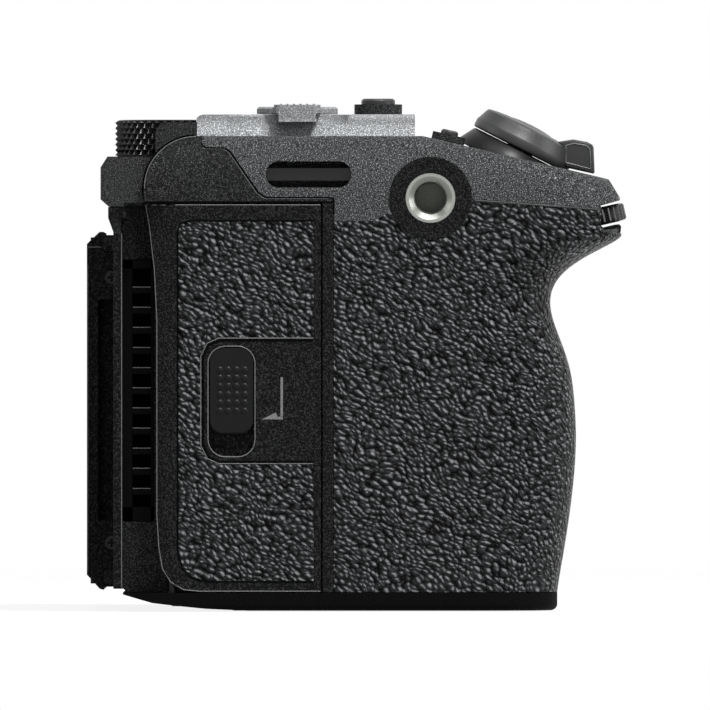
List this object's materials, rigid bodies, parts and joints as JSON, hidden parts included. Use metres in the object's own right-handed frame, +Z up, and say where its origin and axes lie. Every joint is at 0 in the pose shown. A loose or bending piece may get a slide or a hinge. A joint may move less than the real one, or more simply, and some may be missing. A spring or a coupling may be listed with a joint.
{
  "type": "cinema camera body",
  "caption": "Compact cinema camera body with side grip, card door, vari-angle monitor, knurled dials, bayonet lens mount and screw sockets.",
  "frame": {"origin": "mouth of the tripod socket in the base, under the image plane", "axes": "+Z up, -Y out of the lens mount, -X towards the grip"},
  "size_m": [0.1299, 0.0849, 0.0802],
  "materials": {
    "casing_paint": "matte",
    "top_paint": "matte",
    "leather": "satin",
    "control_plastic": "satin",
    "trim_plastic": "gloss",
    "black_metal": "satin",
    "steel": "satin",
    "dark_steel": "satin",
    "screen_glass": "gloss",
    "sensor_glass": "gloss",
    "board": "satin",
    "bare_aluminium": "satin"
  },
  "bodies": {
    "body": {"accessory_shoe": "black_metal", "base": "casing_paint", "battery": "control_plastic", "button_collars": "control_plastic", "card_slots": "dark_steel", "control_panel": "control_plastic", "fan_housing": "control_plastic", "front_casing": "casing_paint", "grip_casing": "casing_paint", "grip_leather": "leather", "heat_sink": "bare_aluminium", "main_board": "board", "monitor_bracket": "black_metal", "mount_ring": "steel", "mount_throat": "trim_plastic", "port_block": "trim_plastic", "rear_casing": "casing_paint", "screws": "dark_steel", "socket_ring": "control_plastic", "stage_plate": "bare_aluminium", "strap_bars": "black_metal", "thread_inserts": "steel", "thumb_rest": "control_plastic", "top_plate": "top_paint", "vent_grille": "trim_plastic"},
    "door_carrier": {"door_pivots": "dark_steel"},
    "media_door": {"card_door": "casing_paint", "door_leather": "leather"},
    "media_lock": {"door_lock": "control_plastic"},
    "front_dial": {"front_dial": "black_metal"},
    "rear_dial": {"rear_dial": "black_metal"},
    "zoom_lever": {"zoom_lever": "control_plastic"},
    "shutter_button": {"shutter_button": "control_plastic"},
    "record_button": {"record_button": "control_plastic"},
    "power_switch": {"power_switch": "control_plastic"},
    "top_key_1": {"top_key_1": "control_plastic"},
    "top_key_2": {"top_key_2": "control_plastic"},
    "top_key_3": {"top_key_3": "control_plastic"},
    "menu_key": {"menu_key": "control_plastic"},
    "focus_key": {"focus_key": "control_plastic"},
    "function_key": {"function_key": "control_plastic"},
    "playback_key": {"playback_key": "control_plastic"},
    "delete_key": {"delete_key": "control_plastic"},
    "control_wheel": {"control_wheel": "control_plastic"},
    "centre_button": {"centre_button": "control_plastic"},
    "joystick_ring": {"joystick_ring": "dark_steel"},
    "joystick_stem": {"joystick_stem": "dark_steel"},
    "joystick_cap": {"joystick_cap": "control_plastic"},
    "monitor_arm": {"monitor_hinge": "black_metal"},
    "monitor": {"monitor": "control_plastic", "monitor_glass": "screen_glass"},
    "battery_door": {"battery_door": "control_plastic"},
    "battery_latch": {"battery_latch": "control_plastic"},
    "port_door_upper": {"port_door_upper": "control_plastic"},
    "port_door_lower": {"port_door_lower": "control_plastic"},
    "release_button": {"release_button": "black_metal"},
    "lock_pin": {"lock_pin": "steel"},
    "sensor_carriage": {"sensor_carriage": "bare_aluminium"},
    "sensor": {"sensor_unit": "sensor_glass"},
    "fan_rotor": {"fan_rotor": "control_plastic"}
  },
  "joints": [
    {"name": "media_door_slide", "type": "slide", "parent": "body", "child": "door_carrier", "axis": [0, 1, 0], "range_m": [0, 0.003]},
    {"name": "media_door_hinge", "type": "hinge", "parent": "door_carrier", "child": "media_door", "pos_m": [-0.0744, 0.0246, 0.033], "axis": [0, 0, -1], "range_deg": [0, 100]},
    {"name": "media_lock_slide", "type": "slide", "parent": "media_door", "child": "media_lock", "axis": [0, 0, -1], "range_m": [0, 0.0033]},
    {"name": "front_dial_turn", "type": "hinge", "parent": "body", "child": "front_dial", "pos_m": [-0.0595, -0.0394, 0.061], "axis": [0, 0.225, 0.9744], "continuous": true},
    {"name": "rear_dial_turn", "type": "hinge", "parent": "body", "child": "rear_dial", "pos_m": [-0.06, 0.0252, 0.074], "axis": [0, 0, 1], "continuous": true},
    {"name": "zoom_lever_turn", "type": "hinge", "parent": "body", "child": "zoom_lever", "pos_m": [-0.0595, -0.0298, 0.0722], "axis": [0, -0.454, 0.891], "range_deg": [-18, 18], "stiffness_Nm_per_rad": 0.05},
    {"name": "shutter_press", "type": "slide", "parent": "body", "child": "shutter_button", "axis": [0, 0.454, -0.891], "range_m": [0, 0.0009], "stiffness_N_per_m": 500},
    {"name": "record_press", "type": "slide", "parent": "body", "child": "record_button", "axis": [0, 0, -1], "range_m": [0, 0.0007], "stiffness_N_per_m": 500},
    {"name": "power_turn", "type": "hinge", "parent": "body", "child": "power_switch", "pos_m": [-0.0525, 0.00515, 0.078], "axis": [0, 0, 1], "range_deg": [0, 28]},
    {"name": "top_key_1_press", "type": "slide", "parent": "body", "child": "top_key_1", "axis": [0, 0.225, -0.9744], "range_m": [0, 0.0005], "stiffness_N_per_m": 500},
    {"name": "top_key_2_press", "type": "slide", "parent": "body", "child": "top_key_2", "axis": [0, 0.225, -0.9744], "range_m": [0, 0.0005], "stiffness_N_per_m": 500},
    {"name": "top_key_3_press", "type": "slide", "parent": "body", "child": "top_key_3", "axis": [0, 0.225, -0.9744], "range_m": [0, 0.0005], "stiffness_N_per_m": 500},
    {"name": "menu_key_press", "type": "slide", "parent": "body", "child": "menu_key", "axis": [0, -1, 0], "range_m": [0, 0.0004], "stiffness_N_per_m": 500},
    {"name": "focus_key_press", "type": "slide", "parent": "body", "child": "focus_key", "axis": [0, -1, 0], "range_m": [0, 0.0004], "stiffness_N_per_m": 500},
    {"name": "function_key_press", "type": "slide", "parent": "body", "child": "function_key", "axis": [0, -1, 0], "range_m": [0, 0.0004], "stiffness_N_per_m": 500},
    {"name": "playback_key_press", "type": "slide", "parent": "body", "child": "playback_key", "axis": [0, -1, 0], "range_m": [0, 0.0004], "stiffness_N_per_m": 500},
    {"name": "delete_key_press", "type": "slide", "parent": "body", "child": "delete_key", "axis": [0, -1, 0], "range_m": [0, 0.0004], "stiffness_N_per_m": 500},
    {"name": "control_wheel_turn", "type": "hinge", "parent": "body", "child": "control_wheel", "pos_m": [-0.0465, 0.03, 0.027], "axis": [0, 1, 0], "continuous": true},
    {"name": "centre_press", "type": "slide", "parent": "body", "child": "centre_button", "axis": [0, -1, 0], "range_m": [0, 0.0004], "stiffness_N_per_m": 500},
    {"name": "joystick_sideways", "type": "hinge", "parent": "body", "child": "joystick_ring", "pos_m": [-0.0475, 0.0289, 0.0485], "axis": [0, 0, 1], "range_deg": [-6, 6], "stiffness_Nm_per_rad": 0.02},
    {"name": "joystick_upright", "type": "hinge", "parent": "joystick_ring", "child": "joystick_stem", "pos_m": [-0.0475, 0.0289, 0.0485], "axis": [1, 0, 0], "range_deg": [-6, 6], "stiffness_Nm_per_rad": 0.02},
    {"name": "joystick_press", "type": "slide", "parent": "joystick_stem", "child": "joystick_cap", "axis": [0, -1, 0], "range_m": [0, 0.0005], "stiffness_N_per_m": 500},
    {"name": "monitor_swing", "type": "hinge", "parent": "body", "child": "monitor_arm", "pos_m": [0.0505, 0.0358, 0.03115], "axis": [0, 0, -1], "range_deg": [0, 176]},
    {"name": "monitor_turn", "type": "hinge", "parent": "monitor_arm", "child": "monitor", "pos_m": [0.0385, 0.0358, 0.03115], "axis": [1, 0, 0], "range_deg": [0, 90]},
    {"name": "battery_door_hinge", "type": "hinge", "parent": "body", "child": "battery_door", "pos_m": [-0.058, 0.0149, 0.001], "axis": [1, 0, 0], "range_deg": [0, 95]},
    {"name": "battery_latch_slide", "type": "slide", "parent": "battery_door", "child": "battery_latch", "axis": [0, 1, 0], "range_m": [0, 0.002], "stiffness_N_per_m": 150},
    {"name": "port_door_upper_hinge", "type": "hinge", "parent": "body", "child": "port_door_upper", "pos_m": [0.0528, 0.0051, 0.051], "axis": [0, 0, 1], "range_deg": [0, 105]},
    {"name": "port_door_lower_hinge", "type": "hinge", "parent": "body", "child": "port_door_lower", "pos_m": [0.0528, 0.0051, 0.023], "axis": [0, 0, 1], "range_deg": [0, 105]},
    {"name": "release_press", "type": "slide", "parent": "body", "child": "release_button", "axis": [0, 1, 0], "range_m": [0, 0.002], "stiffness_N_per_m": 500},
    {"name": "lock_pin_slide", "type": "slide", "parent": "body", "child": "lock_pin", "axis": [0, 1, 0], "range_m": [0, 0.00131]},
    {"name": "sensor_sideways", "type": "slide", "parent": "body", "child": "sensor_carriage", "axis": [1, 0, 0], "range_m": [-0.001, 0.001], "stiffness_N_per_m": 400},
    {"name": "sensor_upright", "type": "slide", "parent": "sensor_carriage", "child": "sensor", "axis": [0, 0, 1], "range_m": [-0.001, 0.001], "stiffness_N_per_m": 400},
    {"name": "fan_turn", "type": "hinge", "parent": "body", "child": "fan_rotor", "pos_m": [0.005, 0.024, 0.036], "axis": [0, 1, 0], "continuous": true}
  ],
  "couplings": [
    {"joint": "monitor_turn", "follows": "monitor_swing", "ratio": 0.511},
    {"joint": "lock_pin_slide", "follows": "release_press", "ratio": 0.65}
  ]
}
